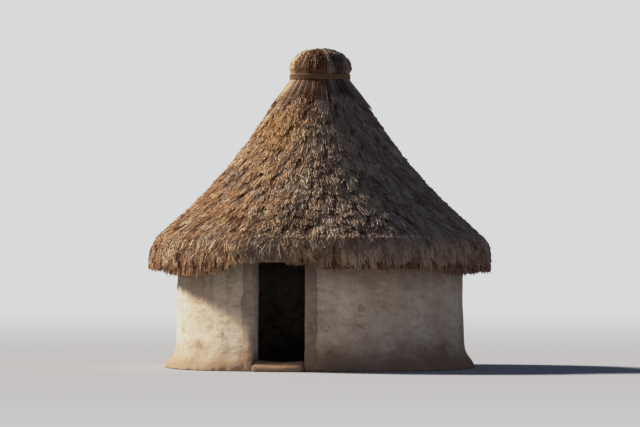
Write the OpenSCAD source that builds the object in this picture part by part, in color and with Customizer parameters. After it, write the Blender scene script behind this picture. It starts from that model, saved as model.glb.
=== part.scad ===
/* [Wall] */
// Radius of the wall's inner face, and of the floor
room_r = 2000; // [1600:10:2400]
// Thickness of the mud wall at the ground
wall_t = 360; // [300:10:480]
// How far the outer face leans in between the ground and the top
wall_lean = 50; // [20:5:90]
// Blocks that the ring of wall is divided into beside the doorway
wall_blocks = 10; // [8:2:12]

/* [Doorway] */
// Clear width between the two jambs
door_w = 860; // [700:10:1000]
// Height of the doorway's mud head above the ground
door_h = 1760; // [1600:10:2000]
// Height of the wall over the doorway
head_h = 240; // [210:10:400]
// Width of the raised plaster band round the doorway
surround_w = 190; // [120:10:260]
// How far that band stands out from the wall
surround_t = 28; // [15:1:45]
// Height of the band above the doorway's head
surround_rise = 140; // [80:10:150]
// Radius of one lintel pole
lintel_r = 30; // [24:1:36]
// Number of lintel poles side by side in the wall
lintel_count = 3; // [2:1:3]
// How far a lintel pole is built into the wall on each side
lintel_bearing = 200; // [140:10:240]

/* [Floor and base] */
// Thickness of the beaten earth floor
floor_t = 110; // [80:5:160]
// Height of the door sill above the floor
sill_rise = 70; // [40:5:100]
// How far the sill's outer step stands out past the wall
sill_step = 130; // [80:10:200]
// How far the mud skirt spreads at the ground
skirt_w = 170; // [100:10:240]
// Height of the mud skirt up the wall
skirt_h = 330; // [200:10:450]

/* [Roof frame] */
// Radius of the tied ring of sticks on top of the wall
plate_r = 45; // [35:1:55]
// How deep that ring is bedded into the wall's top
plate_bed = 12; // [6:1:18]
// Number of rafter poles
rafter_count = 16; // [12:2:18]
// Radius of a rafter pole
rafter_r = 35; // [28:1:42]
// Gap between neighbouring rafters where they meet the spindle
rafter_gap = 4; // [3:1:10]
// Radius of the curve that the rafters sag to
rafter_bend = 8700; // [7800:50:10000]
// Slope of the rafters where they cross the wall, in degrees
eave_slope = 41; // [39:0.5:43]
// Reach of the rafters past the wall's top outer edge
rafter_reach = 250; // [180:10:300]
// Radius of one hoop of tied twigs
hoop_r = 22; // [16:1:28]
// How far the hoops are pressed flat above and below
hoop_flat = 3; // [1:0.5:5]
// Height of the spindle above the rafter tips
spindle_up = 300; // [220:10:360]
// Depth of the spindle below the rafter tips
spindle_down = 330; // [240:10:400]

/* [Thatch] */
// Number of thatch courses between the eave and the topknot
course_count = 7; // [6:1:8]
// Thickness of the thatch
thatch_t = 210; // [160:5:260]
// Rows of straw bundles in each course
course_rows = 3; // [2:1:4]
// How far the lower end of each row stands out over the row below it
row_step = 24; // [12:1:36]
// Angle that a joint between courses slants down the slope, in degrees
course_lap = 0.8; // [0.4:0.1:1.2]
// Angle between the rafter tips and the uppermost joint, in degrees
crown_angle = 1.5; // [1.3:0.1:2]
// Reach of the thatch's underside past the rafter ends
eave_reach = 45; // [35:5:90]
// Thickness of the hanging fringe at the eave
fringe_t = 120; // [90:5:150]
// Depth that the fringe hangs below the thatch's underside
fringe_drop = 225; // [180:5:260]
// Rows of tufts that the fringe hangs in
fringe_rows = 3; // [2:1:4]
// Height that the fringe is trimmed up over the doorway
door_trim = 150; // [80:5:170]
// Radius of the flat arch that the fringe is trimmed to
door_trim_r = 2500; // [1800:50:3500]

/* [Topknot] */
// Radius of the topknot where the rope ties it
knot_waist_r = 475; // [420:5:500]
// Radius of the topknot's head
knot_head_r = 500; // [480:5:560]
// Height of the topknot above the spindle's top
knot_rise = 240; // [180:5:280]
// Radius of the rope that ties the topknot
rope_r = 15; // [10:1:22]
// Turns of rope round the topknot
rope_turns = 3; // [2:1:4]

/* [Hidden] */
$fn = 192;
jamb_x = door_w / 2;
wall_r = room_r + wall_t;
wall_h = door_h + head_h;
slot_y = wall_r + 2 * sill_step;
door_angle = asin((jamb_x + surround_w) / wall_r);
block_angle = (360 - 2 * door_angle) / wall_blocks;
skirt_angle = (360 - 2 * door_angle) / 3;
// Extra turn and size of a solid that another one trims
over_turn = 8;
over = 50;
// Rounding of the wall's inner top edge, and the room left under the rafters
wall_edge = 30;
shoulder_gap = 18;
// Rounding of the plaster band's top edge
surround_edge = 12;
// Rows between the eave course's upper joint and the brow
brow_rows = 2;
// Mud between the inner face and the first lintel pole, and between poles
lintel_cover = 15;
lintel_gap = 4;
// How far the lintel poles show below the doorway's mud head
lintel_show = 25;
sill_h = floor_t + sill_rise;
// Height of the outer step and the slant of its front face
step_h = floor_t;
step_slant = 25;

// The ring on the wall's top is centred on the wall's thickness there
wall_top_r = wall_r - wall_lean;
plate_x = (room_r + wall_top_r) / 2;
plate_z = wall_h + plate_r - plate_bed;

// Every roof line is an arc about one centre, outside and above the hut.
// A place on it is a distance from that centre and an angle below level.
wall_angle = 90 - eave_slope;
arc_x = plate_x + (rafter_bend + rafter_r + plate_r) * cos(wall_angle);
arc_z = plate_z + (rafter_bend + rafter_r + plate_r) * sin(wall_angle);
rafter_under = rafter_bend + rafter_r;
hoop_line = rafter_bend - rafter_r - hoop_r + hoop_flat;
thatch_in = hoop_line - hoop_r + hoop_flat;
thatch_out = thatch_in - thatch_t;

// Rafters stand clear of each other at the tips and are coped to the spindle
tip_r = (rafter_r + rafter_gap / 2) / sin(180 / rafter_count);
spindle_r = tip_r - 0.7 * rafter_r;
tip_angle = acos((arc_x - tip_r) / rafter_bend);
tip_z = arc_z - rafter_bend * sin(tip_angle);
tail_angle = acos((arc_x - wall_top_r - rafter_reach) / rafter_bend);
spindle_top = tip_z + spindle_up;

crown = tip_angle + crown_angle;
eave_angle = acos((arc_x - wall_top_r - rafter_reach - eave_reach) / thatch_in);
course_angle = (eave_angle - crown) / course_count;

function roof_point(distance, angle) =
    [arc_x - distance * cos(angle), arc_z - distance * sin(angle)];
// Angle of the joint under course i, counted from the eave, where i is 0
function joint_angle(i) = eave_angle - i * course_angle;
// Point on the joint at angle a, drawn out past the thatch by a distance
function joint_point(a, past) =
    let (inner = roof_point(thatch_in, a), outer = roof_point(thatch_out, a + course_lap))
    outer + (outer - inner) * past / thatch_t;
// Outer face of rows of bundles from one angle down to another. Each row stands out at its
// lower end, and then the face steps back to the row below.
function rows_down(from, to, rows) = [
    for (k = [0:rows - 1]) each [
        roof_point(thatch_out, from + (to - from) * k / rows),
        roof_point(thatch_out - row_step, from + (to - from) * (k + 1) / rows)
    ]
];
function without_last(points) = [for (i = [0:len(points) - 2]) points[i]];
function wall_face(z) = wall_r - wall_lean * z / wall_h;
function rafter_under_z(x) = arc_z - sqrt(pow(rafter_under, 2) - pow(arc_x - x, 2));
shoulder_z = rafter_under_z(wall_top_r) - shoulder_gap;

mud = "#d9bc97";
damp_mud = "#a98d6d";
grey_mud = "#8d7b66";
bark = "#6b5138";
twig = "#7d5f42";
straw = "#9a7650";
old_straw = "#7a5f45";

// Turns a section about the hut's axis, from one compass angle to another.
// Compass angles start at the doorway, on -Y, and run towards +X.
module sweep_round(from, to) {
    rotate([0, 0, from - 90]) rotate_extrude(angle = to - from) children();
}

// The space between the jambs, from one height to another
module door_slot(low, high) {
    translate([-jamb_x, -slot_y, low]) cube([door_w, slot_y, high - low]);
}

module wall_section() {
    polygon([
        [room_r, 0], [wall_r, 0], [wall_face(shoulder_z), shoulder_z],
        [plate_x + plate_r, wall_h], [room_r + wall_edge, wall_h], [room_r, wall_h - wall_edge]
    ]);
}

module lintel_pole(i) {
    length = door_w + 2 * lintel_bearing;
    y = room_r + lintel_cover + lintel_r + (i - 1) * (2 * lintel_r + lintel_gap);
    color(bark) translate([-length / 2, -y, door_h + lintel_r - lintel_show])
        rotate([0, 90, 0]) cylinder(r = lintel_r, h = length);
}

module lintel_poles() {
    for (i = [1:lintel_count]) lintel_pole(i);
}

// Block i of the ring. The first and last are trimmed to a jamb and hold the lintel's ends.
module wall_block(i) {
    from = door_angle + (i - 1) * block_angle;
    first = i == 1;
    last = i == wall_blocks;
    turn_back = first ? 2 * door_angle : 0;
    turn_on = last ? 2 * door_angle : 0;
    color(mud)
        if (first || last)
            difference() {
                sweep_round(from - turn_back, from + block_angle + turn_on) wall_section();
                translate([first ? jamb_x - slot_y : -jamb_x, -slot_y, -over])
                    cube([slot_y, slot_y, wall_h + 2 * over]);
                lintel_poles();
            }
        else
            sweep_round(from, from + block_angle) wall_section();
}

module wall_over_door() {
    color(mud) difference() {
        intersection() {
            sweep_round(-door_angle, door_angle) wall_section();
            door_slot(door_h, wall_h + over);
        }
        lintel_poles();
    }
}

module door_surround() {
    top = door_h + surround_rise;
    color(grey_mud) difference() {
        sweep_round(-door_angle, door_angle) polygon([
            [wall_face(0), 0], [wall_face(0) + surround_t, 0],
            [wall_face(top - surround_edge) + surround_t, top - surround_edge],
            [wall_face(top) + surround_t - surround_edge, top], [wall_face(top), top]
        ]);
        door_slot(-over, door_h);
    }
}

module earth_floor() {
    color(damp_mud) cylinder(r = room_r, h = floor_t);
}

module door_sill() {
    front = wall_r + sill_step;
    color(damp_mud) intersection() {
        sweep_round(-door_angle - over_turn, door_angle + over_turn) polygon([
            [room_r, 0], [front, 0], [front - step_slant, step_h], [wall_r, step_h],
            [wall_r - step_slant, sill_h], [room_r, sill_h]
        ]);
        door_slot(0, sill_h);
    }
}

// The skirt's outline is a hollow curve, from its toe up to the wall
module mud_skirt(i) {
    from = door_angle + i * skirt_angle;
    steps = 5;
    color(damp_mud) sweep_round(from, from + skirt_angle) polygon(concat(
        [[wall_face(0), 0], [wall_face(0) + skirt_w, 0]],
        [for (s = [1:steps]) let (t = s / steps, z = skirt_h * (0.15 + 0.85 * t))
            [wall_face(z) + skirt_w * pow(1 - t, 1.6), z]]
    ));
}

module wall_plate() {
    color(twig) rotate_extrude() translate([plate_x, plate_z]) difference() {
        circle(r = plate_r);
        translate([-plate_r, -2 * plate_r]) square([2 * plate_r, plate_r + plate_bed]);
    }
}

// A pole bent to the roof's arc, from its tip down to its tail
module rafter() {
    translate([arc_x, 0, arc_z]) rotate([90, 0, 0]) rotate([0, 0, 180 + tip_angle])
        rotate_extrude(angle = tail_angle - tip_angle) translate([rafter_bend, 0])
            circle(r = rafter_r);
}

module rafters() {
    color(bark) difference() {
        for (i = [0:rafter_count - 1])
            rotate([0, 0, (i + 0.5) * 360 / rafter_count - 90]) rafter();
        spindle_log();
    }
}

module spindle_log() {
    toe = spindle_r / 2;
    translate([0, 0, tip_z - spindle_down]) {
        cylinder(r1 = spindle_r - toe, r2 = spindle_r, h = toe);
        translate([0, 0, toe]) cylinder(r = spindle_r, h = spindle_down + spindle_up - toe);
    }
}

module apex_spindle() {
    color(bark) spindle_log();
}

// Hoop i lies under the middle of course i, and the last one under the topknot
module hoop(i) {
    angle = i > course_count ? crown - crown_angle / 2 : joint_angle(i - 0.5);
    color(twig) rotate_extrude() translate(roof_point(hoop_line, angle))
        rotate([0, 0, angle]) intersection() {
            circle(r = hoop_r);
            square([2 * (hoop_r - hoop_flat), 2 * hoop_r], center = true);
        }
}

// A course spans from its own joint up to the joint of the course above it
module thatch_course(i) {
    low = joint_angle(i - 1);
    high = joint_angle(i);
    mid = (low + high) / 2;
    color(i % 2 == 0 ? straw : old_straw) rotate_extrude() polygon(concat(
        [roof_point(thatch_in, low), roof_point(thatch_in, mid), roof_point(thatch_in, high)],
        without_last(rows_down(high + course_lap, low + course_lap, course_rows)),
        [joint_point(low, row_step)]
    ));
}

// The lowest course bends over the brow into a fringe that hangs past the rafters in rows
module eave_course() {
    high = joint_angle(1);
    mid = (eave_angle + high) / 2;
    heel = roof_point(thatch_in, eave_angle);
    brow_angle = eave_angle - course_lap;
    brow = roof_point(thatch_out, brow_angle);
    hang_x = heel[0] + fringe_t / 3;
    front_x = hang_x + fringe_t;
    foot_z = heel[1] - fringe_drop;
    row_z = [for (k = [0:fringe_rows]) brow[1] + (foot_z - brow[1]) * k / fringe_rows];
    row_x = [for (k = [0:fringe_rows]) k == 1 ? front_x - fringe_t / 8 : front_x];
    color(old_straw) difference() {
        rotate_extrude() polygon(concat(
            [heel, roof_point(thatch_in, mid), roof_point(thatch_in, high)],
            rows_down(high + course_lap, brow_angle, brow_rows),
            [brow, [row_x[1], row_z[1]]],
            [for (k = [2:fringe_rows - 1]) each
                [[row_x[k - 1] - row_step, row_z[k - 1]], [row_x[k], row_z[k]]]],
            [[row_x[fringe_rows - 1] - row_step, row_z[fringe_rows - 1]],
             [front_x, foot_z + fringe_t / 2], [front_x - fringe_t / 3, foot_z],
             [hang_x + fringe_t / 6, foot_z], [hang_x, foot_z + fringe_t]]
        ));
        translate([0, 0, foot_z + door_trim - door_trim_r]) rotate([90, 0, 0])
            cylinder(r = door_trim_r, h = front_x + over);
    }
}

module topknot() {
    heel = roof_point(thatch_in, crown);
    inside_z = tip_z + rafter_r;
    inside_a = asin((arc_z - inside_z) / thatch_in);
    rope_z = inside_z + rope_r;
    rope_h = 2 * rope_r * rope_turns;
    head_z = spindle_top + knot_rise;
    color(straw) rotate_extrude() polygon([
        heel, roof_point(thatch_in, crown - crown_angle / 2), roof_point(thatch_in, inside_a),
        [spindle_r, inside_z], [spindle_r, spindle_top], [0, spindle_top],
        [0, head_z], [0.35 * knot_head_r, head_z - 0.1 * knot_rise],
        [0.7 * knot_head_r, head_z - 0.35 * knot_rise],
        [0.94 * knot_head_r, head_z - 0.9 * knot_rise],
        [knot_head_r, head_z - 1.3 * knot_rise],
        [knot_waist_r, rope_z + rope_h], [knot_waist_r, rope_z],
        joint_point(crown, row_step)
    ]);
}

// The turns bite into each other, and lie flat on the topknot
module topknot_rope() {
    bite = 0.9 * rope_r;
    low_z = tip_z + rafter_r + 2 * rope_r;
    color(bark) rotate_extrude() difference() {
        for (i = [0:rope_turns - 1])
            translate([knot_waist_r + bite, low_z + 2 * bite * i]) circle(r = rope_r);
        translate([0, low_z - rope_r]) square([knot_waist_r, 2 * rope_r * rope_turns]);
    }
}

earth_floor();
door_sill();
door_surround();
wall_over_door();
wall_plate();
rafters();
apex_spindle();
topknot();
topknot_rope();
mud_skirt(0);  // mud_skirt_right
mud_skirt(1);  // mud_skirt_back
mud_skirt(2);  // mud_skirt_left
for (i = [1:wall_blocks])
    wall_block(i);
for (i = [1:lintel_count])
    lintel_pole(i);
for (i = [1:course_count + 1])
    hoop(i);
eave_course();  // thatch_course_1
for (i = [2:course_count])
    thatch_course(i);
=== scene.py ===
# Rondavel hut: the finish of a round mud hut under a tall cone of straw.
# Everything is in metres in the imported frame: +Z up, the doorway towards -Y.
import math
from functools import partial

import bmesh
import bpy
import numpy as np
from mathutils import Matrix, Vector, noise
from mathutils.bvhtree import BVHTree
from mathutils.geometry import convex_hull_2d


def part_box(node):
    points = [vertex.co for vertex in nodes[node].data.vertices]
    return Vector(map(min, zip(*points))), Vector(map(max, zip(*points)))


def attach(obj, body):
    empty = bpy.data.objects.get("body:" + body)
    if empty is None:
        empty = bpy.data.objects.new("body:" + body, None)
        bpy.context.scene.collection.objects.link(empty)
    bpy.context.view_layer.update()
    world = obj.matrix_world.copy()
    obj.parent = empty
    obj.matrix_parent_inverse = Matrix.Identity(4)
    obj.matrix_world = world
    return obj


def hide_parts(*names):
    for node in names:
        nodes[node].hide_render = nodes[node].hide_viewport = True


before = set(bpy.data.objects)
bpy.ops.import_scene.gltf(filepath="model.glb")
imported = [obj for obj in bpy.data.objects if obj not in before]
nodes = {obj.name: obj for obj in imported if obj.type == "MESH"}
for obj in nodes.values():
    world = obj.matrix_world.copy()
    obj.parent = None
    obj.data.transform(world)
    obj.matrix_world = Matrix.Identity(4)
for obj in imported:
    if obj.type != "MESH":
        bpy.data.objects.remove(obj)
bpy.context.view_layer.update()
print("frame loaded:", len(nodes), "nodes")

fullTurn = 2 * math.pi

fewer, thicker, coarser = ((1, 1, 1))

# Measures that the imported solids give
courseCount = sum(name.startswith("thatch_course_") for name in nodes)
hoopCount = sum(name.startswith("hoop_") for name in nodes)
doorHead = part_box("wall_over_door")[0].z
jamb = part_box("wall_over_door")[1].x
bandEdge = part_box("door_surround")[1].x


# Camera, lights and the plain floor
studio = {
    "cameraTurn": 16.5,  # degrees from the doorway, towards +X
    "cameraFar": 75.0,
    "cameraHigh": 2.3,  # eye height, from a low bank
    "aimHigh": 2.52,
    "lens": 258.0,
    "keyTurn": -95.0,  # the low warm light comes from the left
    "keyRise": 35.0,
    "keySpread": 9.0,  # degrees wide, which softens its shadows
    "keyPower": 8.2,
    "keyColour": "#fff2e2",
    "fillTurn": 50.0,
    "fillRise": 30.0,
    "fillSpread": 70.0,
    "fillPower": 0.21,
    "fillColour": "#d8e4ff",
    "airColour": "#f7f9fa",  # what the camera sees behind the hut
    "airGlow": "#a6b8dc",  # what lights the hut from all round
    "airLight": 0.15,
    # How bright places roll off: light in, light out
    "rollOff": ((0.2, 0.2), (0.45, 0.44), (0.8, 0.64), (1.4, 0.80), (2.6, 0.94)),
    "floorColour": "#a9adb5",
    "floorReach": 400.0,
    "fadeFrom": 6.0,
    "fadeTo": 55.0,
}


def linear(hexColour):
    # sRGB hex to the linear colour that the shaders work in
    parts = [int(hexColour[i:i + 2], 16) / 255 for i in (1, 3, 5)]
    return [p / 12.92 if p <= 0.04045 else ((p + 0.055) / 1.055) ** 2.4 for p in parts] + [1.0]


def addNode(tree, kind, inputs=None, colours=(), **settings):
    # One shader node; its inputs take numbers, hex colours, sockets, or a node's first output.
    # A ramp's colours are evenly spaced
    node = tree.nodes.new("ShaderNode" + kind)
    for name, value in settings.items():
        setattr(node, name, value)
    sockets = [socket for socket in node.inputs if socket.enabled]
    for key, value in (inputs or {}).items():
        socket = sockets[key] if isinstance(key, int) else node.inputs[key]
        if isinstance(value, bpy.types.Node):
            value = next(output for output in value.outputs if output.enabled)
        if isinstance(value, bpy.types.NodeSocket):
            tree.links.new(value, socket)
        else:
            socket.default_value = linear(value) if isinstance(value, str) else value
    for i in range(1, len(colours) - 1):
        node.color_ramp.elements.new(i / (len(colours) - 1))
    for i, colour in enumerate(colours):
        node.color_ramp.elements[i].color = linear(colour)
    return node


def newMaterial(name, roughness, specular):
    # A material, its shader, and addNode for its own nodes
    material = bpy.data.materials.new(name)
    material.use_nodes = True
    shader = material.node_tree.nodes["Principled BSDF"]
    shader.inputs["Roughness"].default_value = roughness
    shader.inputs["Specular IOR Level"].default_value = specular
    return material, shader, partial(addNode, material.node_tree)


def patterned(material, shader, colour, bump):
    # The last colour and the last bump go to the shader
    links = material.node_tree.links
    links.new(colour.outputs[2], shader.inputs["Base Color"])
    links.new(bump.outputs[0], shader.inputs["Normal"])
    return material


def towards(turn, rise):
    # The direction from the hut, turned from the doorway and raised, in degrees
    a = math.radians(turn)
    e = math.radians(rise)
    return Vector((math.sin(a) * math.cos(e), -math.cos(a) * math.cos(e), math.sin(e)))


def addObject(name, data):
    thing = bpy.data.objects.new(name, data)
    bpy.context.collection.objects.link(thing)
    return thing


def objectFrom(name, bm, material):
    mesh = bpy.data.meshes.new(name)
    bm.to_mesh(mesh)
    bm.free()
    mesh.materials.append(material)
    return addObject(name, mesh)


def aim(thing, way):
    thing.rotation_euler = way.to_track_quat("-Z", "Y").to_euler()


def makeCamera():
    data = bpy.data.cameras.new("camera")
    data.lens = studio["lens"]
    data.clip_end = 1000
    camera = addObject("camera", data)
    camera.location = towards(studio["cameraTurn"], 0) * studio["cameraFar"]
    camera.location.z = studio["cameraHigh"]
    aim(camera, Vector((0, 0, studio["aimHigh"])) - camera.location)
    bpy.context.scene.camera = camera


def softLight(name):
    # A far, wide light
    data = bpy.data.lights.new(name, "SUN")
    data.angle = math.radians(studio[name + "Spread"])
    data.energy = studio[name + "Power"]
    data.color = linear(studio[name + "Colour"])[:3]
    light = addObject(name + "Light", data)
    aim(light, -towards(studio[name + "Turn"], studio[name + "Rise"]))


def makeAir():
    world = bpy.data.worlds.new("studioAir")
    world.use_nodes = True
    tree = world.node_tree
    glow = addNode(tree, "Background", {"Color": studio["airGlow"], "Strength": studio["airLight"]})
    backdrop = addNode(tree, "Background", {"Color": studio["airColour"]})
    seen = addNode(tree, "MixShader", {0: addNode(tree, "LightPath"), 1: glow, 2: backdrop})
    tree.links.new(seen.outputs[0], tree.nodes["World Output"].inputs["Surface"])
    bpy.context.scene.world = world


def softHighlights():
    # Bright places roll off as on film, so that the sunny side keeps its detail
    view = bpy.context.scene.view_settings
    view.view_transform = "Standard"
    view.use_curve_mapping = True
    view.curve_mapping.use_clip = False
    line = view.curve_mapping.curves[3]
    line.points[1].location = studio["rollOff"][-1]
    for seen, shown in studio["rollOff"][:-1]:
        line.points.new(seen, shown)
    view.curve_mapping.update()


def makeFloor():
    # The floor fades into the air far behind the hut, so that no edge shows
    material, shader, node = newMaterial("studioFloor", 0.9, 0.1)
    shader.inputs["Base Color"].default_value = linear(studio["floorColour"])
    place = node("TexCoord").outputs["Object"]
    distance = node("VectorMath", {0: place}, operation="LENGTH").outputs["Value"]
    fade = node("MapRange", {0: distance, 1: studio["fadeFrom"], 2: studio["fadeTo"]},
                interpolation_type="SMOOTHSTEP")
    mix = node("MixShader", {0: fade, 1: shader, 2: node("BsdfTransparent")})
    tree = material.node_tree
    tree.links.new(mix.outputs[0], tree.nodes["Material Output"].inputs["Surface"])
    bm = bmesh.new()
    bmesh.ops.create_circle(bm, cap_ends=True, segments=96, radius=studio["floorReach"])
    objectFrom("studioFloor", bm, material)


makeCamera()
softLight("key")
softLight("fill")
makeAir()
softHighlights()
makeFloor()
print("studio ready")


# Sun-dried clay plaster, smoothed on by hand: chalky and without gloss
def clayPlaster(name, light, dark, stain, smokeAndEaveShade):
    material, shader, node = newMaterial(name, 0.92, 0.12)
    place = node("TexCoord").outputs["Object"]
    height = node("SeparateXYZ", {0: place}).outputs["Z"]
    flat = node("Mapping", {"Vector": place, "Scale": (1, 1, 2.2)})

    # Broad blotches about a metre wide, strokes of the hand, and sandy grain
    blotch = node("TexNoise", {"Vector": place, "Scale": 1.1, "Detail": 4, "Roughness": 0.6})
    hand = node("TexNoise", {"Vector": flat, "Scale": 5.5, "Detail": 4, "Distortion": 0.5})
    grain = node("TexNoise", {"Vector": place, "Scale": 90, "Detail": 3, "Roughness": 0.7})
    coats = [
        (node("MapRange", {0: blotch, 1: 0.38, 2: 0.62}), dark),
        (node("MapRange", {0: hand, 1: 0.42, 2: 0.72, 4: 0.6}), stain),
        (node("MapRange", {0: grain, 1: 0.5, 2: 0.75, 4: 0.3}), stain),
    ]

    # Chopped straw lying every way, drawn a few times its thickness so that it shows
    for lie, tint in (((11, 11, 36), "#f0dcb2"), ((34, 34, 10), "#7c6248")):
        cells = node("Mapping", {"Vector": place, "Scale": lie})
        flecks = node("TexVoronoi", {"Vector": cells, "Scale": 1.0})
        coats.append((node("MapRange", {0: flecks, 1: 0.2, 2: 0.12, 4: 0.5}), tint))

    # Rain streaks run down from under the eave
    runs = node("Mapping", {"Vector": place, "Scale": (8, 8, 0.5)})
    runs = node("TexNoise", {"Vector": runs, "Scale": 1.0, "Detail": 5, "Roughness": 0.6})
    streak = node("MapRange", {0: runs, 1: 0.5, 2: 0.7, 4: 0.65})
    upper = node("MapRange", {0: height, 1: 0.4, 2: 1.8})
    coats.append((node("Math", {0: streak, 1: upper}, operation="MULTIPLY"), stain))

    # Chips, most of them low down, where the outer coat has fallen and the brown coat shows
    coarse = node("TexNoise", {"Vector": place, "Scale": 2.3, "Detail": 8, "Roughness": 0.62})
    damp = node("MapRange", {0: height, 1: 1.4, 2: 0.2, 4: 0.07})
    loosened = node("Math", {0: coarse, 1: damp}, operation="ADD")
    chip = node("MapRange", {0: loosened, 1: 0.66, 2: 0.68})
    coats.append((node("Math", {0: chip, 1: 0.55}, operation="MULTIPLY"), "#8f7660"))

    # Hairline cracks, drawn a little wider than real so that they show
    warp = node("TexNoise", {"Vector": place, "Scale": 3.0, "Detail": 5, "Roughness": 0.7})
    bent = node("VectorMath", {0: place, 1: warp.outputs["Color"]}, operation="ADD")
    cells = node("TexVoronoi", {"Vector": bent, "Scale": 1.3}, feature="DISTANCE_TO_EDGE")
    line = node("MapRange", {0: cells, 1: 0.013, 2: 0.004})
    where = node("MapRange", {0: blotch, 1: 0.5, 2: 0.6})
    crack = node("Math", {0: line, 1: where}, operation="MULTIPLY")
    coats.append((node("Math", {0: crack, 1: 0.6}, operation="MULTIPLY"), "#6b513b"))

    # Splashed earth at the foot, and smoke with painted shade from the eave at the top, both with ragged
    # edges
    ragged = node("Math", {0: coarse, 1: -0.7, 2: height}, operation="MULTIPLY_ADD")
    for start, full, most, tint in ((0.25, -0.25, 0.85, "#8d7059"), (0.8, 1.5, smokeAndEaveShade, "#655549")):
        spread = node("MapRange", {0: ragged, 1: start, 2: full, 4: most}, interpolation_type="SMOOTHSTEP")
        coats.append((spread, tint))

    colour = light
    for amount, tint in coats:
        colour = node("Mix", {0: amount, 1: colour, 2: tint}, data_type="RGBA")

    bump = node("Bump", {"Strength": 0.8, "Distance": 0.016, "Height": hand})
    bump = node("Bump", {"Strength": 0.5, "Distance": 0.003, "Height": grain, "Normal": bump})
    hollow = node("Math", {0: chip, 1: crack}, operation="MAXIMUM")
    bump = node("Bump", {"Strength": 0.5, "Distance": 0.004, "Height": hollow, "Normal": bump}, invert=True)
    return patterned(material, shader, colour, bump)


# Where weather, smoke and age have marked the straw, and where shade and light are painted on it
stains = {
    "damp": 106.0,  # the side away from the key light, greyed by weather and painted darker and bluer as shade, in degrees from the doorway
    "seamTurn": 16.0,  # degrees from the doorway, at the topknot
    "seamSlant": 0.27,  # radians that it turns aside for each metre down
    "seamTop": 5.1,
    "seamWide": 0.31,  # half its width, in radians round the hut
    "spots": (  # place, size, colour and strength
        ((-0.14, -2.62, 2.12), 0.62, "#776c62", 0.33),
        # a dark red-brown spot over the doorway's right
        ((0.36, -2.40, 2.36), 0.42, "#4a2a1e", 0.58),
        # painted light: a lighter golden patch on the sunlit upper roof
        ((-0.40, -0.90, 3.86), 0.62, "#c39a60", 0.46),
    ),
}
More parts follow.
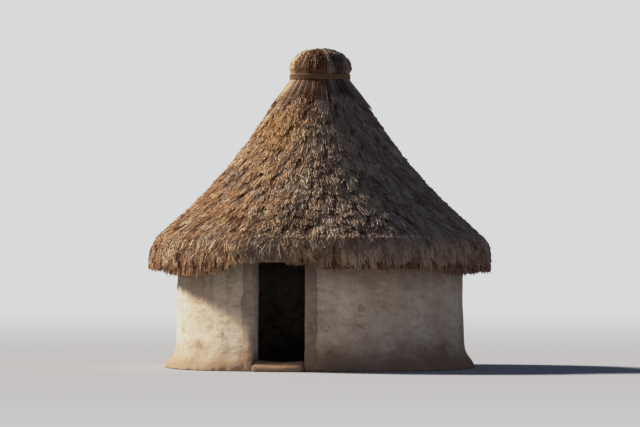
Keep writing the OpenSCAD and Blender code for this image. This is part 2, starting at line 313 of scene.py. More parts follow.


# Sun-bleached straw: each stalk has its own tone, dull gold to brown, and old straw goes grey; the side
# away from the key light is painted darker and bluer as shade
def driedStraw(name, depth, greyAndShadeShare):
    material, shader, node = newMaterial(name, 0.75, 0.2)
    place = node("TexCoord").outputs["Object"]
    height = node("SeparateXYZ", {0: place}).outputs["Z"]
    patch = node("TexNoise", {"Vector": place, "Scale": 1.5, "Detail": 5, "Roughness": 0.65})

    # Streaks a hand wide and finer ones run down the slope; loose stalks add their own tone
    flat = node("VectorMath", {0: place, 1: (1, 1, 0)}, operation="MULTIPLY")
    compass = node("VectorMath", {0: flat}, operation="NORMALIZE")
    shade = node("Attribute", attribute_name="tone").outputs["Fac"]
    for perTurn, perMetre, weight in ((70, 2.2, 0.45), (23, 0.8, 1.0)):
        fall = node("VectorMath", {0: place, 1: (0, 0, perMetre)}, operation="MULTIPLY")
        down = node("VectorMath", {0: compass, 1: (perTurn, perTurn, 0), 2: fall}, operation="MULTIPLY_ADD")
        streak = node("TexNoise", {"Vector": down, "Scale": 1.0, "Detail": 4, "Roughness": 0.7})
        shade = node("Math", {0: streak, 1: weight, 2: shade}, operation="MULTIPLY_ADD")
    shade = node("Math", {0: patch, 1: 0.35, 2: shade}, operation="MULTIPLY_ADD")
    shade = node("Math", {0: shade, 1: depth}, operation="SUBTRACT")
    warm = node("ValToRGB", {0: shade}, ["#2a190f", "#674831", "#a68060", "#cca983", "#ecd4ae"])
    grey = node("ValToRGB", {0: shade}, ["#211a16", "#584d45", "#8e8074", "#b5a799", "#d8ccbd"])
    spread = node("TexNoise", {"Vector": place, "Scale": 2.3, "Detail": 6, "Roughness": 0.6})
    amount = node("MapRange", {0: spread, 1: 0.42, 2: 0.64, 4: 0.6})
    # Away from the key light the straw goes grey, as with weather, and is multiplied darker and bluer:
    # painted shade
    shadeSideWay = towards(stains["damp"], 0)
    away = node("VectorMath", {0: compass, 1: shadeSideWay}, operation="DOT_PRODUCT").outputs["Value"]
    damp = node("MapRange", {0: away, 1: -0.45, 2: 0.5, 4: greyAndShadeShare})
    amount = node("Math", {0: amount, 1: damp}, operation="MAXIMUM")
    colour = node("Mix", {0: amount, 1: warm, 2: grey}, data_type="RGBA")
    colour = node("Mix", {0: damp, 1: colour, 2: "#b6bac8"}, data_type="RGBA", blend_type="MULTIPLY")

    # Red-brown where rain soaks the eave
    ragged = node("Math", {0: spread, 1: 0.9, 2: height}, operation="MULTIPLY_ADD")
    wet = node("MapRange", {0: ragged, 1: 2.62, 2: 2.1, 4: 0.62})
    soaked = node("ValToRGB", {0: shade}, ["#1b0f09", "#75492e", "#c39a70"])
    colour = node("Mix", {0: wet, 1: colour, 2: soaked}, data_type="RGBA")

    # A seam of rusty straw slants down from the topknot, in streaks
    way = towards(stains["seamTurn"], 0)
    slant = stains["seamSlant"]
    front, beside = [
        node("VectorMath", {0: compass, 1: line}, operation="DOT_PRODUCT").outputs["Value"]
        for line in (way, (-way.y, way.x, 0))
    ]
    slanted = node("Math", {0: height, 1: -slant, 2: beside}, operation="MULTIPLY_ADD")
    wander = node("Math", {0: patch, 1: 0.5, 2: slanted}, operation="MULTIPLY_ADD")
    middle = 0.25 - slant * stains["seamTop"]
    aside = node("Math", {0: wander, 1: middle}, operation="SUBTRACT")
    aside = node("Math", {0: aside}, operation="ABSOLUTE")
    seam = node("MapRange", {0: aside, 1: stains["seamWide"], 2: 0.05})
    for value, low, high in ((height, 3.7, 4.4), (front, 0.2, 0.6), (streak, 0.25, 0.45)):
        share = node("MapRange", {0: value, 1: low, 2: high})
        seam = node("Math", {0: seam, 1: share}, operation="MULTIPLY")
    rusty = node("ValToRGB", {0: shade}, ["#27120a", "#70402c", "#b58360"])
    colour = node("Mix", {0: seam, 1: colour, 2: rusty}, data_type="RGBA")

    # Smoke has greyed the straw over the doorway, a spot over the doorway's right is dark red-brown, and a
    # lighter golden patch on the sunlit upper roof is painted light
    for spot, size, tint, most in stains["spots"]:
        far = node("VectorMath", {0: place, 1: spot}, operation="DISTANCE").outputs["Value"]
        far = node("Math", {0: patch, 1: 0.6, 2: far}, operation="MULTIPLY_ADD")
        amount = node("MapRange", {0: far, 1: size + 0.3, 2: size * 0.4 + 0.3, 4: most})
        colour = node("Mix", {0: amount, 1: colour, 2: tint}, data_type="RGBA")
    bump = node("Bump", {"Strength": 0.6, "Distance": 0.010, "Height": streak})
    return patterned(material, shader, colour, bump)


# Unpeeled branches: rough grey-brown bark, with paler ridges that catch the light
def roughBark(name, light, dark, perMetre):
    material, shader, node = newMaterial(name, 0.85, 0.2)
    place = node("TexCoord").outputs["Object"]
    ridge = node("TexNoise", {"Vector": place, "Scale": perMetre, "Detail": 5, "Distortion": 0.8})
    blotch = node("TexNoise", {"Vector": place, "Scale": 4, "Detail": 3})
    amount = node("MapRange", {0: ridge, 1: 0.35, 2: 0.65})
    colour = node("Mix", {0: amount, 1: dark, 2: light}, data_type="RGBA")
    amount = node("MapRange", {0: blotch, 1: 0.45, 2: 0.65, 4: 0.4})
    colour = node("Mix", {0: amount, 1: colour, 2: "#7f7466"}, data_type="RGBA")
    bump = node("Bump", {"Strength": 0.8, "Distance": 0.006, "Height": ridge})
    return patterned(material, shader, colour, bump)


creamPlaster = clayPlaster("clayPlaster", "#e3d3bf", "#ceb8a0", "#a48a70", 0.85)
# The door's band is greyer mud, and painted darker than the wall as the jamb's shade
greyShadedPlaster = clayPlaster("greyShadedClayPlaster", "#b5a695", "#9d8d7b", "#7b6956", 0.85)
trodEarth = clayPlaster("troddenEarth", "#b0967c", "#9a8067", "#836950", 0.0)
looseStraw = driedStraw("driedStraw", 0.68, 0.75)
# Straw for the solids: without a tone of its own it comes out darker, painted shade between and under the
# bundles
packedStrawInShade = driedStraw("packedStrawInShade", 0.68, 0.25)
bark = roughBark("branchBark", "#7a6248", "#3d2c1e", 28)
twigBark = roughBark("twigBark", "#8d7050", "#4a3421", 60)
fibreRope = roughBark("twistedFibre", "#a5835f", "#634830", 120)
print("materials ready")


# Mud work: turned from the solids' outlines, then given the uneven skin of hand-smoothed mud
mud = {
    "wallVoxel": 0.044,
    "wallSwell": 0.018,  # how far the surface swells and sinks
    "bandVoxel": 0.018,
    "bandSwell": 0.012,
    "bandUneven": 0.050,  # how far the band's outer edges wander
    "bandThin": 0.050,  # and how far they sink into the wall
    "bandFoot": 0.110,  # how far the band spreads at the ground
    "bandFootHigh": 0.16,
    "sillVoxel": 0.020,
    "sillSwell": 0.022,
    "sillWorn": 0.022,  # how deep feet have worn the middle of the sill
    "floorVoxel": 0.070,
    "skirtRoot": 0.12,  # how far the skirt runs into the wall
    "skirtKept": 0.11,  # and how much of that keeps its shape
    "skirtFade": 0.80,  # it thins out over this far from the doorway
    "skirtLeast": 0.36,  # to this share of its spread
    "skirtUnder": 0.07,  # and ends this far under the door's band
    "skirtWander": 0.35,  # how far its edge wanders, as a share of its spread
    "swells": ((1.4, 1), (4.5, 0.45), (13, 0.2)),  # how many to a metre, and their share
}


def pointsOf(nodeName):
    mesh = nodes[nodeName].data
    places = np.empty(len(mesh.vertices) * 3)
    mesh.vertices.foreach_get("co", places)
    return places.reshape(-1, 3)


def turned(places):
    # Places as (radius, height)
    return np.column_stack([np.hypot(places[:, 0], places[:, 1]), places[:, 2]])


def sectionOf(nodeName):
    # The points of a turned node's outline, from its back half
    places = pointsOf(nodeName)
    return np.unique(turned(places[places[:, 1] > 0]).round(3), axis=0)


def inOrder(points):
    # A section's points, taken round their middle
    middle = points.mean(axis=0)
    return points[np.argsort(np.arctan2(points[:, 1] - middle[1], points[:, 0] - middle[0]))]


def sweptRing(section, fromTurn=0.0, toTurn=fullTurn, steps=180):
    # A closed ring, or an arc of one with its ends capped; turns start at the doorway
    bm = bmesh.new()
    start = fromTurn - math.pi / 2
    verts = [bm.verts.new((r * math.cos(start), r * math.sin(start), z)) for r, z in section]
    face = bm.faces.new(verts)
    if toTurn - fromTurn >= fullTurn:
        edges = face.edges[:]
        bmesh.ops.delete(bm, geom=[face], context="FACES_ONLY")
        bmesh.ops.spin(bm, geom=edges, axis=(0, 0, 1), angle=fullTurn, steps=steps, use_merge=True)
    else:
        bmesh.ops.spin(bm, geom=[face], axis=(0, 0, 1), angle=toTurn - fromTurn, steps=steps)
    bmesh.ops.remove_doubles(bm, verts=bm.verts, dist=0.0005)
    bmesh.ops.recalc_face_normals(bm, faces=bm.faces)
    return bm


def bakeModifiers(piece):
    # The modifiers' result becomes the mesh itself
    graph = bpy.context.evaluated_depsgraph_get()
    mesh = bpy.data.meshes.new_from_object(piece.evaluated_get(graph))
    piece.modifiers.clear()
    old = piece.data
    piece.data = mesh
    bpy.data.meshes.remove(old)


def handSmoothed(piece, voxel, swell, seed, rounds=4):
    # Even small faces, edges softened in rounds, then hollows and swells of three sizes
    remesh = piece.modifiers.new("skin", "REMESH")
    remesh.mode = "VOXEL"
    remesh.voxel_size = voxel * coarser
    soften = piece.modifiers.new("soften", "SMOOTH")
    soften.iterations = rounds
    bakeModifiers(piece)
    mesh = piece.data
    shift = Vector((seed * 7.3, seed * 3.1, seed * 5.7))
    for vertex, normal in zip(mesh.vertices, [n.vector.copy() for n in mesh.vertex_normals]):
        place = vertex.co + shift
        depth = sum(share * noise.noise(place * often) for often, share in mud["swells"])
        vertex.co += normal * (swell * depth)
        vertex.co.z = max(vertex.co.z, 0)
    mesh.shade_smooth()


def finished(piece, slotName, *nodeNames):
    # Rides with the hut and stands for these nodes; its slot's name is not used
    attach(piece, "root")
    if nodeNames:
        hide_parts(*nodeNames)


def skirtRing():
    # The skirt, run a little into the wall, and thinned out towards the doorway
    outline = sectionOf("mud_skirt_back")
    inside = outline[:, 0].min() - mud["skirtRoot"]
    kept = mud["skirtKept"]
    wallFoot = outline[outline[:, 1] < 0.001, 0].min()
    points = np.vstack([outline, [[inside, 0], [inside, outline[:, 1].max()]]])
    doorTurn = math.asin((bandEdge - mud["skirtUnder"]) / wallFoot)
    bm = sweptRing(inOrder(points), doorTurn, fullTurn - doorTurn)
    for place in [vertex.co for vertex in bm.verts]:
        radius = math.hypot(place.x, place.y)
        turn = abs(math.atan2(place.x, -place.y))
        near = min(1, (turn - doorTurn) * wallFoot / mud["skirtFade"])
        wave = noise.noise(Vector((math.cos(turn) * 3, place.x, 7)))
        if radius > inside + 0.01:
            near = max(near, 0)
            share = mud["skirtLeast"] + (1 - mud["skirtLeast"]) * near * near * (3 - 2 * near)
            share *= 1 + mud["skirtWander"] * wave * near
            grown = inside + kept + (radius - inside - kept) * share
            place.x *= grown / radius
            place.y *= grown / radius
        place.z *= 0.8 + 0.2 * near + 0.25 * wave
    return bm


def mudWall():
    # The whole ring with the doorway cut through it, and the skirt grown onto its foot
    wall = objectFrom("mudWall", sweptRing(inOrder(sectionOf("wall_5"))), creamPlaster)
    bm = bmesh.new()
    bmesh.ops.create_cube(bm, size=1)
    deep = 4.0
    bmesh.ops.scale(bm, verts=bm.verts, vec=(2 * jamb, deep, 2 * doorHead))
    bmesh.ops.translate(bm, verts=bm.verts, vec=(0, -deep / 2, 0))
    cutter = objectFrom("doorCutter", bm, creamPlaster)
    cut = wall.modifiers.new("doorway", "BOOLEAN")
    cut.object = cutter
    cut.solver = "EXACT"
    bakeModifiers(wall)
    bpy.data.objects.remove(cutter)
    bm = skirtRing()
    bm.from_mesh(wall.data)
    bm.to_mesh(wall.data)
    bm.free()
    handSmoothed(wall, mud["wallVoxel"], mud["wallSwell"], seed=1)
    names = [name for name in nodes if name.startswith(("wall_", "mud_skirt_"))]
    names.remove("wall_plate")
    finished(wall, "mud_plaster", *names)
    print("mudWall", len(wall.data.polygons), "faces")


def copyOf(nodeName, pieceName, material):
    bm = bmesh.new()
    bm.from_mesh(nodes[nodeName].data)
    bmesh.ops.remove_doubles(bm, verts=bm.verts, dist=0.0002)
    bmesh.ops.recalc_face_normals(bm, faces=bm.faces)
    return objectFrom(pieceName, bm, material)


def mudDetails():
    # The band's outer edges wander, thin out into the wall and spread at the foot
    surround = copyOf("door_surround", "doorSurround", greyShadedPlaster)
    handSmoothed(surround, mud["bandVoxel"], mud["bandSwell"], seed=2, rounds=12)
    for place in [vertex.co for vertex in surround.data.vertices]:
        share = max(0, (abs(place.x) - jamb) / (bandEdge - jamb))
        beside = 3 * math.copysign(1, place.x)
        wander = noise.noise(Vector((beside, 0, place.z * 1.7)))
        wander += 0.5 * noise.noise(Vector((beside, 5, place.z * 5)))
        spread = mud["bandUneven"] * (wander - 0.3)
        spread += mud["bandFoot"] * math.exp(-place.z / mud["bandFootHigh"])
        place.x += math.copysign(share * spread, place.x)
        place.y += mud["bandThin"] * max(0, share - 0.4) * (0.8 + wander)
    finished(surround, "grey_mud", "door_surround")

    ground = copyOf("earth_floor", "earthFloor", trodEarth)
    handSmoothed(ground, mud["floorVoxel"], mud["bandSwell"], seed=4)
    finished(ground, "beaten_earth", "earth_floor")

    # Feet have worn the sill hollow between the jambs
    sill = copyOf("door_sill", "doorSill", trodEarth)
    handSmoothed(sill, mud["sillVoxel"], mud["sillSwell"], seed=3, rounds=30)
    low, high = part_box("door_sill")
    for place in [vertex.co for vertex in sill.data.vertices]:
        up = (place.z - low.z) / (high.z - low.z)
        place.z -= mud["sillWorn"] * up * math.cos(min(1, abs(place.x) / jamb) * math.pi / 2)
    finished(sill, "beaten_earth", "door_sill")


mudWall()
mudDetails()
print("mud work ready")


# Rods: closed prisms laid along paths, thousands to a piece, each with its own tone

def rodTemplate(rings, sides, pointed):
    # A prism of unit radius, whose rings stand at heights 0, 1, 2 and so on
    bm = bmesh.new()
    bmesh.ops.create_cone(bm, cap_ends=True, segments=sides, radius1=1, radius2=1, depth=rings - 1)
    bmesh.ops.translate(bm, verts=bm.verts, vec=(0, 0, (rings - 1) / 2))
    for ring in range(1, rings - 1):
        bmesh.ops.bisect_plane(bm, geom=bm.verts[:] + bm.edges[:] + bm.faces[:],
                               plane_co=(0, 0, ring), plane_no=(0, 0, 1))
    if pointed:
        tip = [v for v in bm.verts if v.co.z < 0.5]
        bmesh.ops.scale(bm, verts=tip, vec=(0, 0, 1))
        bmesh.ops.remove_doubles(bm, verts=tip, dist=0.01)
    return cornersAndFaces(bm)


def cornersAndFaces(bm):
    bmesh.ops.triangulate(bm, faces=bm.faces[:])
    bmesh.ops.recalc_face_normals(bm, faces=bm.faces[:])
    bm.verts.index_update()
    corners = np.array([v.co[:] for v in bm.verts])
    faces = np.array([[v.index for v in f.verts] for f in bm.faces])
    bm.free()
    return corners, faces


def repeated(faces, corners, count, start=0):
    # The triangles of count alike shapes, whose corners follow each other from start
    return (faces[None] + (start + np.arange(count) * corners)[:, None, None]).reshape(-1, 3)


def joinedMesh(name, places, faces, tones, material, smooth):
    # One object from arrays of places, triangles and a tone at each place
    mesh = bpy.data.meshes.new(name)
    mesh.vertices.add(len(places))
    mesh.vertices.foreach_set("co", places.ravel())
    mesh.loops.add(faces.size)
    mesh.loops.foreach_set("vertex_index", faces.ravel())
    mesh.polygons.add(len(faces))
    mesh.polygons.foreach_set("loop_start", np.arange(0, faces.size, 3))
    mesh.polygons.foreach_set("use_smooth", np.full(len(faces), smooth))
    mesh.update(calc_edges=True)
    tone = mesh.attributes.new("tone", "FLOAT", "POINT")
    tone.data.foreach_set("value", tones)
    mesh.materials.append(material)
    print(name, len(faces), "triangles")
    return addObject(name, mesh)


def layRods(name, groups, material, slotName, nodeNames=(), sides=3, pointed=True, smooth=False):
    # Each group holds rods x rings x 3 places, radii for the rods or their rings, and rods' tones
    places = []
    faces = []
    tones = []
    start = 0
    for paths, radii, rodTones in groups:
        count, rings = paths.shape[:2]
        corners, template = rodTemplate(rings, sides, pointed)
        ring = corners[:, 2].round().astype(int)
        along = paths[:, -1] - paths[:, 0]
        along /= np.linalg.norm(along, axis=1, keepdims=True)
        side = np.cross(along, paths[:, 0] * (1, 1, 0) + (1e-6, 0, 0))
        side /= np.linalg.norm(side, axis=1, keepdims=True)
        upward = np.cross(along, side)
        roll = np.arange(count)[:, None] * 2.4  # radians that each is turned about its own line
        wide = corners[:, 0] * np.cos(roll) - corners[:, 1] * np.sin(roll)
        high = corners[:, 0] * np.sin(roll) + corners[:, 1] * np.cos(roll)
        across = wide[..., None] * side[:, None] + high[..., None] * upward[:, None]
        radii = np.broadcast_to(radii, (count, rings))
        places.append((paths[:, ring] + across * radii[:, ring, None]).reshape(-1, 3))
        faces.append(repeated(template, len(corners), count, start))
        tones.append(np.repeat(rodTones, len(corners)))
        start += count * len(corners)
    piece = joinedMesh(name, np.concatenate(places), np.concatenate(faces), np.concatenate(tones),
                       material, smooth)
    finished(piece, slotName, *nodeNames)


def roundPlaces(radius, turn, height):
    # Places round the hut, where turns start at +X
    return np.stack(np.broadcast_arrays(radius * np.cos(turn), radius * np.sin(turn), height), axis=-1)


# Thatch: rows of straw bundles, laid from the eave up, each over the ends of the row below
thatch = {
    "stalkRadius": 0.0058,  # thicker than real, so that a stalk still shows
    "stalkUneven": (0.65, 1.3),
    "stalkLong": (0.30, 0.50),
    "stalkLean": 0.014,
    "stalkLift": 0.006,
    "tone": 0.5,
    "stalkTone": 0.12,  # how far stalks differ in tone
    "bundleWide": 0.15,
    "tied": 0.45,  # half of a bundle's width where it is tied, as a share
    "rounded": 0.045,  # how far a bundle's middle reaches past its sides
    "slipUp": 0.045,  # how far up a bundle may lie, so that the solid stays covered
    "slipped": {"share": 0.06, "long": 0.6, "lean": 0.10, "lift": 0.012},  # stalks that lie askew
    "rowsInCourse": 3,
    "rowStep": 0.024,  # how far a row's lower end stands out, as on the solids
    "pastEdge": 0.024,  # how far past the solid's edge a row's stalks end
    "coat": {
        "inBundle": 78,
        "slip": 0.042,  # how unevenly bundles are laid
        "ragged": 0.048,  # how unevenly stalks end within a bundle
        "wave": 0.024,  # and how far a whole row wanders up and down
        "lift": (0.000, 0.018),  # how far the ends stand off the slope
        "fan": (0.42, 0.66),  # half of a bundle's width at its lower end, as a share
        "lean": 0.055,
        "mottle": 0.08,  # how far bundles differ in tone
    },
    "fringe": {
        "inBundle": 27,
        "slip": 0.030,
        "ragged": 0.030,
        "wave": 0.020,
        "lift": (0.004, 0.030),
        "fan": (0.26, 0.56),
        "lean": 0.075,
        "mottle": 0.14,
    },
    "eaveRows": (0.13, 0.24, 0.33, 0.42, 0.50, 0.58, 0.66, 0.75),
    "trim": {  # where the fringe's tufts are cut off
        "probe": 0.06,  # how far in from its face the solid's foot is measured
        "past": 0.024,  # how far past that foot tufts hang
        "uneven": 0.044,
        "rounded": 0.030,
        "ragged": 0.016,
        "sag": 0.058,  # how far the foot sags and rises round the hut
    },
    "foot": {  # the cut ends under the fringe
        "stalks": 6000,
        "proud": 0.010,  # how far the outermost stand off the solid
        "deep": 0.125,  # how far in they go, most of them near the face
        "ragged": (-0.012, 0.022),
        "leastSag": -0.02,
        "long": 0.16,
        "lean": 0.006,
        "uneven": (0.7, 1.3),
        "tone": (0.4, 0.15),
    },
}


def stalks(rng, rings, uneven, tone, toneSpread, stout=1):
    # Stalks through rings of places, each with its own radius and tone
    count = len(rings[0])
    radii = thatch["stalkRadius"] * stout * thicker * rng.uniform(*uneven, count)
    return np.stack(rings, axis=1), radii[:, None], rng.normal(tone, toneSpread, count)


def slopeLength(slope):
    return np.hypot(*np.diff(slope, axis=0).T).sum()


def topOf(points):
    # The outer end of a course's upper joint
    return points[(points[:, 1] + points[:, 0] / 2).argmax()]


def rowFaces(number):
    # The outer face of each row of a course, from under the row above to its own lower end
    points = sectionOf(f"thatch_course_{number}")
    top = topOf(points)
    butt = points[points[:, 0].argmax()]
    down = (butt - top) / slopeLength([top, butt])
    out = np.array([-down[1], down[0]]) * thatch["rowStep"]
    ends = np.linspace(top, butt - out, thatch["rowsInCourse"] + 1)
    return [np.array([upper, lower + out]) for upper, lower in zip(ends, ends[1:])]


def eaveFace():
    # The outer face of the lowest course, over the brow and straight down the fringe
    points = sectionOf("thatch_course_1")
    brow = points[points.sum(axis=1).argmax()]
    hull = points[convex_hull_2d([tuple(p) for p in points])]
    hanging = hull[(hull[:, 0] > brow[0] + 0.01) & (hull[:, 1] < brow[1])]
    return np.vstack([topOf(points), brow, hanging[hanging[:, 1].argsort()[:0:-1]]])


def onSlope(slope, down, lift):
    # The (radius, height) at distances down a slope's faces, stood off them by lift
    edges = np.diff(slope, axis=0)
    long = np.hypot(*edges.T)
    marks = np.concatenate([[-1], np.cumsum(long)])
    out = np.stack([-edges[:, 1], edges[:, 0]], axis=1) / long[:, None]
    out = np.vstack([out[:1], (out[1:] + out[:-1]) / 2, out[-1:]])
    ends = np.vstack([slope[0] - edges[0] / long[0], slope[1:]])
    past = np.maximum(down - marks[-1], 0)
    fall = edges[-1] / long[-1]
    return [np.interp(down, marks, ends[:, i]) + lift * np.interp(down, marks, out[:, i]) + past * fall[i]
            for i in (0, 1)]


def sagAt(turn):
    # How far the fringe's foot hangs below its even line, lowest at the left of the doorway
    return thatch["trim"]["sag"] * (np.sin(turn * 3 + 1.8) + 0.6 * np.sin(turn * 7 + 4.3))


def strawRow(rng, slope, endAt, rings, kind, buried=0.004, trim=None):
    # One row of bundles round the hut, whose stalks end at a distance down the slope
    style = thatch[kind]
    radius = onSlope(slope, endAt, 0)[0]
    wide = thatch["bundleWide"]
    inBundle = style["inBundle"] // fewer
    bundles = int(fullTurn * radius / wide)
    turns = (np.arange(bundles) + rng.uniform(-0.4, 0.4, bundles)) * fullTurn / bundles
    phases = rng.uniform(0, fullTurn, 4)
    wave = sum(np.sin(turns * n + p) / math.sqrt(n) for n, p in zip((3, 7, 13, 22), phases))
    slips = rng.normal(0, style["slip"], bundles) + style["wave"] * wave
    turn, slip, lift, lean, tone, fan = np.repeat([
        turns,
        np.maximum(slips, -thatch["slipUp"]),
        rng.uniform(*style["lift"], bundles),
        rng.normal(0, style["lean"], bundles),
        rng.normal(thatch["tone"], style["mottle"], bundles),
        rng.uniform(*style["fan"], bundles),
    ], inBundle, axis=1)

    # Each stalk's own place in its bundle
    count = len(turn)
    across = rng.uniform(-1, 1, count)
    slipped = thatch["slipped"]
    stray = rng.random(count) < slipped["share"]
    end = endAt + slip - thatch["rounded"] * across ** 2 + rng.normal(0, style["ragged"], count)
    if trim is not None:
        cut = thatch["trim"]
        tuft = np.repeat(rng.normal(cut["past"], cut["uneven"], bundles) + sagAt(turns), inBundle)
        foot = trim(turn + across * wide / 2 / radius)
        tuft = foot + tuft - cut["rounded"] * np.abs(across) + rng.normal(0, cut["ragged"], count)
        end = np.minimum(end, tuft)
    start = end - rng.uniform(*thatch["stalkLong"], count) * np.where(stray, slipped["long"], 1)
    lean = lean + rng.normal(0, thatch["stalkLean"], count)
    lean = lean + stray * rng.normal(0, slipped["lean"], count)
    lift = lift * (1 - 0.4 * across ** 2) + np.abs(rng.normal(0, thatch["stalkLift"], count))
    lift = lift + stray * slipped["lift"]
    rising = -buried + stray * (buried + slipped["lift"])
    places = []
    for share in np.linspace(0, 1, rings):
        r, z = onSlope(slope, start + (end - start) * share, rising + (lift - rising) * share)
        spread = thatch["tied"] + (fan - thatch["tied"]) * share
        sideways = across * wide * spread + lean * share
        places.append(roundPlaces(r, turn + sideways / np.maximum(r, 0.3), z))
    return stalks(rng, places, thatch["stalkUneven"], tone, thatch["stalkTone"])


def strawCoat(number):
    rng = np.random.default_rng(100 + number)
    groups = [strawRow(rng, face, slopeLength(face) + thatch["pastEdge"], 2, "coat")
              for face in rowFaces(number)]
    layRods(f"strawCoat_{number}", groups, looseStraw, "straw")


def eaveTrim(slope):
    # How far down the slope stalks may reach, as the fringe is trimmed up over the doorway
    body = nodes["thatch_course_1"].data
    tree = BVHTree.FromPolygons([v.co for v in body.vertices], [p.vertices[:] for p in body.polygons])
    turns = np.linspace(0, fullTurn, 361)
    inside = slope[:, 0].max() - thatch["trim"]["probe"]
    up = Vector((0, 0, 1))
    foot = [tree.ray_cast(Vector(roundPlaces(inside, t, 0)), up)[0].z for t in turns]
    reach = slopeLength(slope) - (np.array(foot) - slope[-1, 1])
    return lambda turn: np.interp(turn % fullTurn, turns, reach)


def eave():
    # The lowest course bends over the brow and hangs in rows of tufts
    rng = np.random.default_rng(300)
    slope = eaveFace()
    trim = eaveTrim(slope)
    rows = thatch["eaveRows"]
    step = thatch["rowStep"]
    groups = [strawRow(rng, slope, end, 2, "coat", step) for end in rows[:3]]
    layRods("strawCoat_1", groups, looseStraw, "old_straw")
    for name, ends in (("eaveBrow", rows[3:5]), ("eaveFringe", rows[5:])):
        groups = [strawRow(rng, slope, end, 3, "fringe", step, trim) for end in ends]
        layRods(name, groups, looseStraw, "old_straw")

    # The trimmed foot of the fringe is all cut ends
    cut = thatch["foot"]
    count = cut["stalks"] // fewer
    turn = rng.uniform(0, fullTurn, count)
    foot = slope[-1, 1] + slopeLength(slope) - trim(turn)
    radius = slope[:, 0].max() + cut["proud"] - cut["deep"] * rng.uniform(0, 1, count) ** 1.3
    low = foot - np.maximum(sagAt(turn), cut["leastSag"]) + rng.normal(*cut["ragged"], count)
    ends = [
        roundPlaces(radius - 0.01, turn, low + cut["long"]),
        roundPlaces(radius, turn + rng.normal(0, cut["lean"], count), low),
    ]
    layRods("fringeFoot", [stalks(rng, ends, cut["uneven"], *cut["tone"])], looseStraw, "old_straw")


# Topknot: bundles stood on end round the spindle, roped at the waist, with a blunt head
topknot = {
    "stalks": 2400,
    "stalkStout": 1.3,  # how much thicker than the thatch's they are drawn
    "stalkUneven": (0.7, 1.3),
    "tone": 0.30,
    "bundles": 25,
    "mottle": 0.17,  # how far bundles differ in tone
    "swell": (0.006, 0.028),  # how far the middle of a bundle stands proud
    "spread": 0.055,  # thickness of the outer layer of stalks
    "splay": 0.34,  # how far the lower ends reach down over the thatch
    "ends": (0.11, 0.50),  # where stalks end, as distances from the tip down the head
    "uneven": 0.050,  # how unevenly bundles end
    "ragged": 0.015,  # and the stalks in them
    "loose": 0.02,  # how far their ends stand off the head
    "heartStalks": 2300,
    "heartStout": 1.2,
    "heartWide": 0.86,  # the cut ends' share of the head's width
    "heartLong": 0.3,
    "heartRagged": (-0.004, 0.018),
    "heartTone": (0.36, 0.16),
    "ropeStrand": 0.0075,
    "ropeTwist": 0.055,  # length of one twist of the rope
}


def headSlope():
    # The head's outline, from the tip down to the rope
    points = sectionOf("topknot")
    tip = points[:, 1].max()
    outer = points[(points[:, 1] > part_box("topknot_rope")[1].z) & (points.sum(axis=1) > tip - 0.001)]
    return outer[np.unique(outer[:, 1], return_index=True)[1][::-1]]


def outerStalks(rng, head):
    # Bundles splayed over the thatch, squeezed by the rope and swelling over the head
    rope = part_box("topknot_rope")
    waist = np.array([head[-1, 0], (rope[0].z + rope[1].z) / 2])
    halfRope = np.array([0, (rope[1].z - rope[0].z) / 2])
    points = sectionOf("topknot")
    foot = points[points[:, 0].argmax()]
    face = rowFaces(courseCount)[0]
    down = (face[1] - face[0]) / slopeLength(face)
    whole = slopeLength(head)
    count = topknot["stalks"] // fewer
    bundles = topknot["bundles"]
    turn = rng.uniform(0, fullTurn, count)
    place = turn / fullTurn * bundles
    bundle = place.astype(int)
    crown = 1 - ((place - bundle) * 2 - 1) ** 2
    tone = rng.normal(topknot["tone"], topknot["mottle"], bundles)[bundle]
    swell = rng.uniform(*topknot["swell"], bundles)[bundle] * crown
    tall = rng.normal(0, topknot["uneven"], bundles)[bundle]
    reach = rng.uniform(0, 1, count) * rng.uniform(0.4, 1, bundles)[bundle] * topknot["splay"]
    lean = rng.normal(0, 0.05, bundles)[bundle] + rng.normal(0, 0.02, count)
    deep = rng.uniform(0, 1, count) ** 1.5 * topknot["spread"]
    end = rng.uniform(*topknot["ends"], count) + tall + rng.normal(0, topknot["ragged"], count)
    places = []
    splayed = foot + np.outer(reach, down)
    for line, sunk, out in ((splayed, 0.2, 1), (waist - halfRope, 1, 0.1), (waist + halfRope, 1, 0.1)):
        radius, height = np.broadcast_to(line, (count, 2)).T
        squeezed = swell * out - deep * sunk
        places.append(roundPlaces(radius + squeezed, turn + rng.normal(0, 0.012, count), height))
    for share in (0.3, 0.65, 1):
        lift = swell - deep + topknot["loose"] * share ** 2 * rng.random(count)
        radius, height = onSlope(head, whole + (end - whole) * share, lift)
        places.append(roundPlaces(radius, turn + lean * share, height))
    return stalks(rng, places, topknot["stalkUneven"], tone, thatch["stalkTone"], topknot["stalkStout"])


def heartStalks(rng, head):
    # The stalks inside the head show from above as a dome of cut ends
    count = topknot["heartStalks"] // fewer
    share = np.sqrt(rng.uniform(0.0005, topknot["heartWide"] ** 2, count))
    turn = rng.uniform(0, fullTurn, count)
    widest = head[:, 0].argmax()
    radius = head[widest, 0] * share
    dome = np.interp(radius, head[:widest, 0], head[:widest, 1])
    dome = dome + rng.normal(*topknot["heartRagged"], count)
    ends = [
        roundPlaces(radius * 0.93, turn, dome - topknot["heartLong"]),
        roundPlaces(radius, turn + rng.normal(0, 0.02, count), dome),
    ]
    return stalks(rng, ends, topknot["stalkUneven"], *topknot["heartTone"], topknot["heartStout"])


def topknotStalks():
    rng = np.random.default_rng(500)
    head = headSlope()
    layRods("topknotStalks", [outerStalks(rng, head), heartStalks(rng, head)], looseStraw, "straw")


def bentRing(bm, radius, height, thick, sides, steps):
    # A tube bent round into a ring
    stand = Matrix.Translation((radius, 0, height)) @ Matrix.Rotation(math.pi / 2, 4, "X")
    made = bmesh.ops.create_circle(bm, segments=sides, radius=thick, matrix=stand)
    edges = {edge for vertex in made["verts"] for edge in vertex.link_edges}
    bmesh.ops.spin(bm, geom=list(edges), axis=(0, 0, 1), angle=fullTurn, steps=steps, use_merge=True)


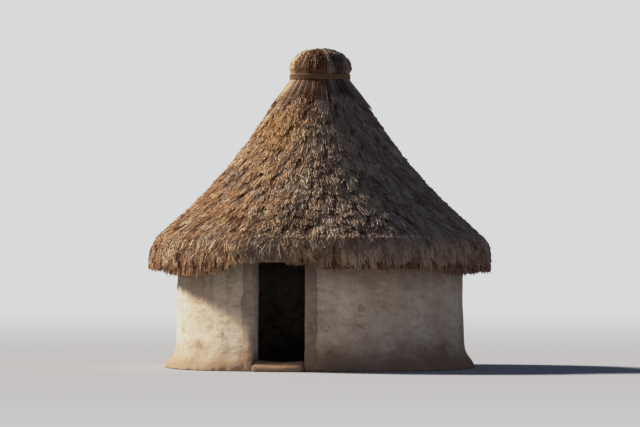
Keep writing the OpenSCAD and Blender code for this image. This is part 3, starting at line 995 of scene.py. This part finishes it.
def twistedRings(name, strands, material, slotName, nodeNames, sides=5, wobble=0.0):
    # Strands wind about circles round the hut. Each has the circle's radius and height, its own
    # radius, distance off the circle, twists, first turn and steps
    bm = bmesh.new()
    for radius, height, thick, off, twists, phase, steps in strands:
        for vertex in bm.verts:
            vertex.tag = True
        bentRing(bm, radius, height, thick, sides, steps)
        for place in [vertex.co for vertex in bm.verts if not vertex.tag]:
            turn = math.atan2(place.y, place.x)
            sway = wobble * noise.noise(Vector((math.cos(turn) * 6, math.sin(turn) * 6, phase * 5)))
            grown = 1 + (off * math.cos(turn * twists + phase) + sway) / radius
            place.x *= grown
            place.y *= grown
            place.z += off * math.sin(turn * twists + phase) + sway
    bmesh.ops.recalc_face_normals(bm, faces=bm.faces)
    for face in bm.faces:
        face.smooth = True
    print(name, sum(len(face.verts) - 2 for face in bm.faces), "triangles")
    finished(objectFrom(name, bm, material), slotName, *nodeNames)


def topknotRope():
    low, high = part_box("topknot_rope")
    thick = topknot["ropeStrand"]
    turns = round((high.z - low.z) / (4 * thick))
    pitch = (high.z - low.z) / turns
    radius = high.x - 2 * thick
    twists = round(fullTurn * radius / topknot["ropeTwist"])
    off = thick * 0.95
    strands = [
        (radius, low.z + pitch * (i + 0.5), thick, off, twists, third * fullTurn / 3 + i, twists * 5)
        for i in range(turns) for third in range(3)
    ]
    twistedRings("topknotRope", strands, fibreRope, "fibre_rope", ["topknot_rope"], sides=4)


eave()
for number in range(2, courseCount + 1):
    strawCoat(number)
topknotStalks()
topknotRope()
print("straw laid")


# Roof frame: bent poles, hoops and the wall plate of tied twigs, and the ropes at the crossings
roof = {
    "twigTwist": 0.75,  # length in which the twigs of a hoop go once round it
    "twigsInHoop": 5,
    "hoopTwig": 0.40,  # a twig's share of the hoop's thickness
    "hoopOff": 0.56,  # and how far off the hoop's middle it lies, as a share too
    "twigWobble": 0.004,
    "plateThick": 0.045,
    "plateTwigs": ((3, 0.016, 1.44), (7, 0.031, 2.79)),  # how many, how far off, and first turn
    "plateTwig": 0.013,
    "poleWander": 0.010,  # how far a pole strays from its even bend
    "poleRings": 26,
    "poleTaper": (1.05, 0.20),  # its thickness at the foot, and how much less at the top
    "poleSmooth": 0.86,  # the share of its rings that carry no knot
    "knotProud": 0.22,
    "logVoxel": 0.030,
    "logSwell": 0.008,
    "tieRadius": 0.058,
    "tieRope": 0.008,
}


def hoopLine(number):
    # A hoop's radius round the hut, its height and its thickness
    low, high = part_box(f"hoop_{number}")
    thick = (high.z - low.z) / 2
    return high.x - thick, low.z + thick, thick


hoopLines = [hoopLine(number) for number in range(1, hoopCount + 1)]


def twigRing(pieceName, nodeName, radius, height, twig, layers):
    # Twigs that wind round each other, in layers: how many, how far off the middle, first turn
    twists = round(fullTurn * radius / roof["twigTwist"])
    strands = [
        (radius, height, twig, off, twists, i * fullTurn / count + first, twists * 8)
        for count, off, first in layers for i in range(count)
    ]
    twistedRings(pieceName, strands, twigBark, "twigs", [nodeName], wobble=roof["twigWobble"])


def hoops():
    for number, (radius, height, thick) in enumerate(hoopLines, 1):
        twig = thick * roof["hoopTwig"]
        layers = [(roof["twigsInHoop"], thick * roof["hoopOff"], number)]
        twigRing(f"hoopTwigs_{number}", f"hoop_{number}", radius, height, twig, layers)


def wallPlate():
    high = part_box("wall_plate")[1]
    thick = roof["plateThick"]
    twigRing("wallPlateTwigs", "wall_plate", high.x - thick, high.z - thick, roof["plateTwig"],
             roof["plateTwigs"])


def roofArc():
    # The centre of the arc that the hoops and every line of the roof share
    points = np.array(hoopLines)[:, :2]
    table = np.column_stack([2 * points, np.ones(len(points))])
    return np.linalg.lstsq(table, (points ** 2).sum(axis=1), rcond=None)[0][:2]


def rafterTurns():
    places = pointsOf("rafters")
    far = turned(places)[:, 0]
    turns = np.sort(np.arctan2(places[:, 1], places[:, 0])[far > 0.9 * far.max()])
    return [part.mean() for part in np.split(turns, np.flatnonzero(np.diff(turns) > 0.1) + 1)]


def layPoles(name, rng, paths, thick, nodeNames):
    # Poles stray from their line, taper and carry knots where twigs were cut off
    count, rings = paths.shape[:2]
    share = np.linspace(0, 1, rings)
    for waves in (1.3, 3.1):
        sway = np.sin(share * waves * math.pi + rng.uniform(0, fullTurn, (count, 1)))
        side = rng.normal(0, roof["poleWander"] / waves, (count, 1, 3))
        paths = paths + sway[..., None] * side
    knots = 1 + roof["knotProud"] * (rng.random((count, rings)) > roof["poleSmooth"])
    whole, less = roof["poleTaper"]
    radii = thick * (whole - less * share) * knots * rng.normal(1, 0.03, (count, rings))
    layRods(name, [(paths, radii, np.zeros(count))], bark, "bark_pole", nodeNames, 9, False, True)


def poles():
    rng = np.random.default_rng(600)
    centre = roofArc()
    section = turned(pointsOf("rafters"))
    away = section - centre
    bends = np.hypot(*away[section[:, 0] > 0.5].T)
    bend = (bends.max() + bends.min()) / 2
    thick = (bends.max() - bends.min()) / 2
    falls = np.arctan2(-away[:, 1], -away[:, 0])
    fall = np.linspace(falls.min(), falls.max(), roof["poleRings"])
    turns = np.array(rafterTurns())
    line = centre[:, None] - bend * np.array([np.cos(fall), np.sin(fall)])
    paths = roundPlaces(line[0][None], turns[:, None], line[1][None])
    layPoles("rafterPoles", rng, paths, thick, ["rafters"])

    names = [name for name in nodes if name.startswith("lintel_pole_")]
    paths = []
    for low, high in map(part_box, names):
        middle = (low + high) / 2
        paths.append([(x, middle.y, middle.z) for x in np.linspace(low.x, high.x, roof["poleRings"])])
    layPoles("lintelPoles", rng, np.array(paths), (high.z - low.z) / 2, names)

    # The log that the rafters lean on, uneven as the axe left it
    log = copyOf("apex_spindle", "spindleLog", bark)
    handSmoothed(log, roof["logVoxel"], roof["logSwell"], seed=6, rounds=2)
    finished(log, "bark_pole", "apex_spindle")


def ties():
    # Crossed turns of rope hold each hoop to each rafter
    bm = bmesh.new()
    bentRing(bm, roof["tieRadius"], 0, roof["tieRope"], 4, 12)
    corners, template = cornersAndFaces(bm)
    centre = roofArc()
    placed = []
    for radius, height, thick in hoopLines:
        inward = (radius, height) - centre
        inward /= np.hypot(*inward)
        middle = (radius, height) + inward * (roof["tieRadius"] - thick)
        for turn in rafterTurns():
            deep = roundPlaces(inward[0], turn, inward[1])
            slope = roundPlaces(inward[1], turn, -inward[0])
            around = roundPlaces(1, turn + math.pi / 2, 0)
            for lean in (-1, 1):
                across = (slope + around * lean) / math.sqrt(2)
                axes = np.stack([across, deep, np.cross(across, deep)])
                placed.append(corners @ axes + roundPlaces(middle[0], turn, middle[1]))
    faces = repeated(template, len(corners), len(placed))
    places = np.concatenate(placed)
    piece = joinedMesh("roofTies", places, faces, np.zeros(len(places)), fibreRope, True)
    finished(piece, "fibre_rope")


hoops()
wallPlate()
poles()
ties()
print("roof frame ready")


# The solids that still show get their finish in their own slots: straw without a tone of its own, which
# comes out darker, as painted shade between and under the bundles
for name, node in nodes.items():
    if name.startswith(("thatch_course_", "topknot")):
        for slot in node.material_slots:
            slot.material = packedStrawInShade
print("solids dressed")
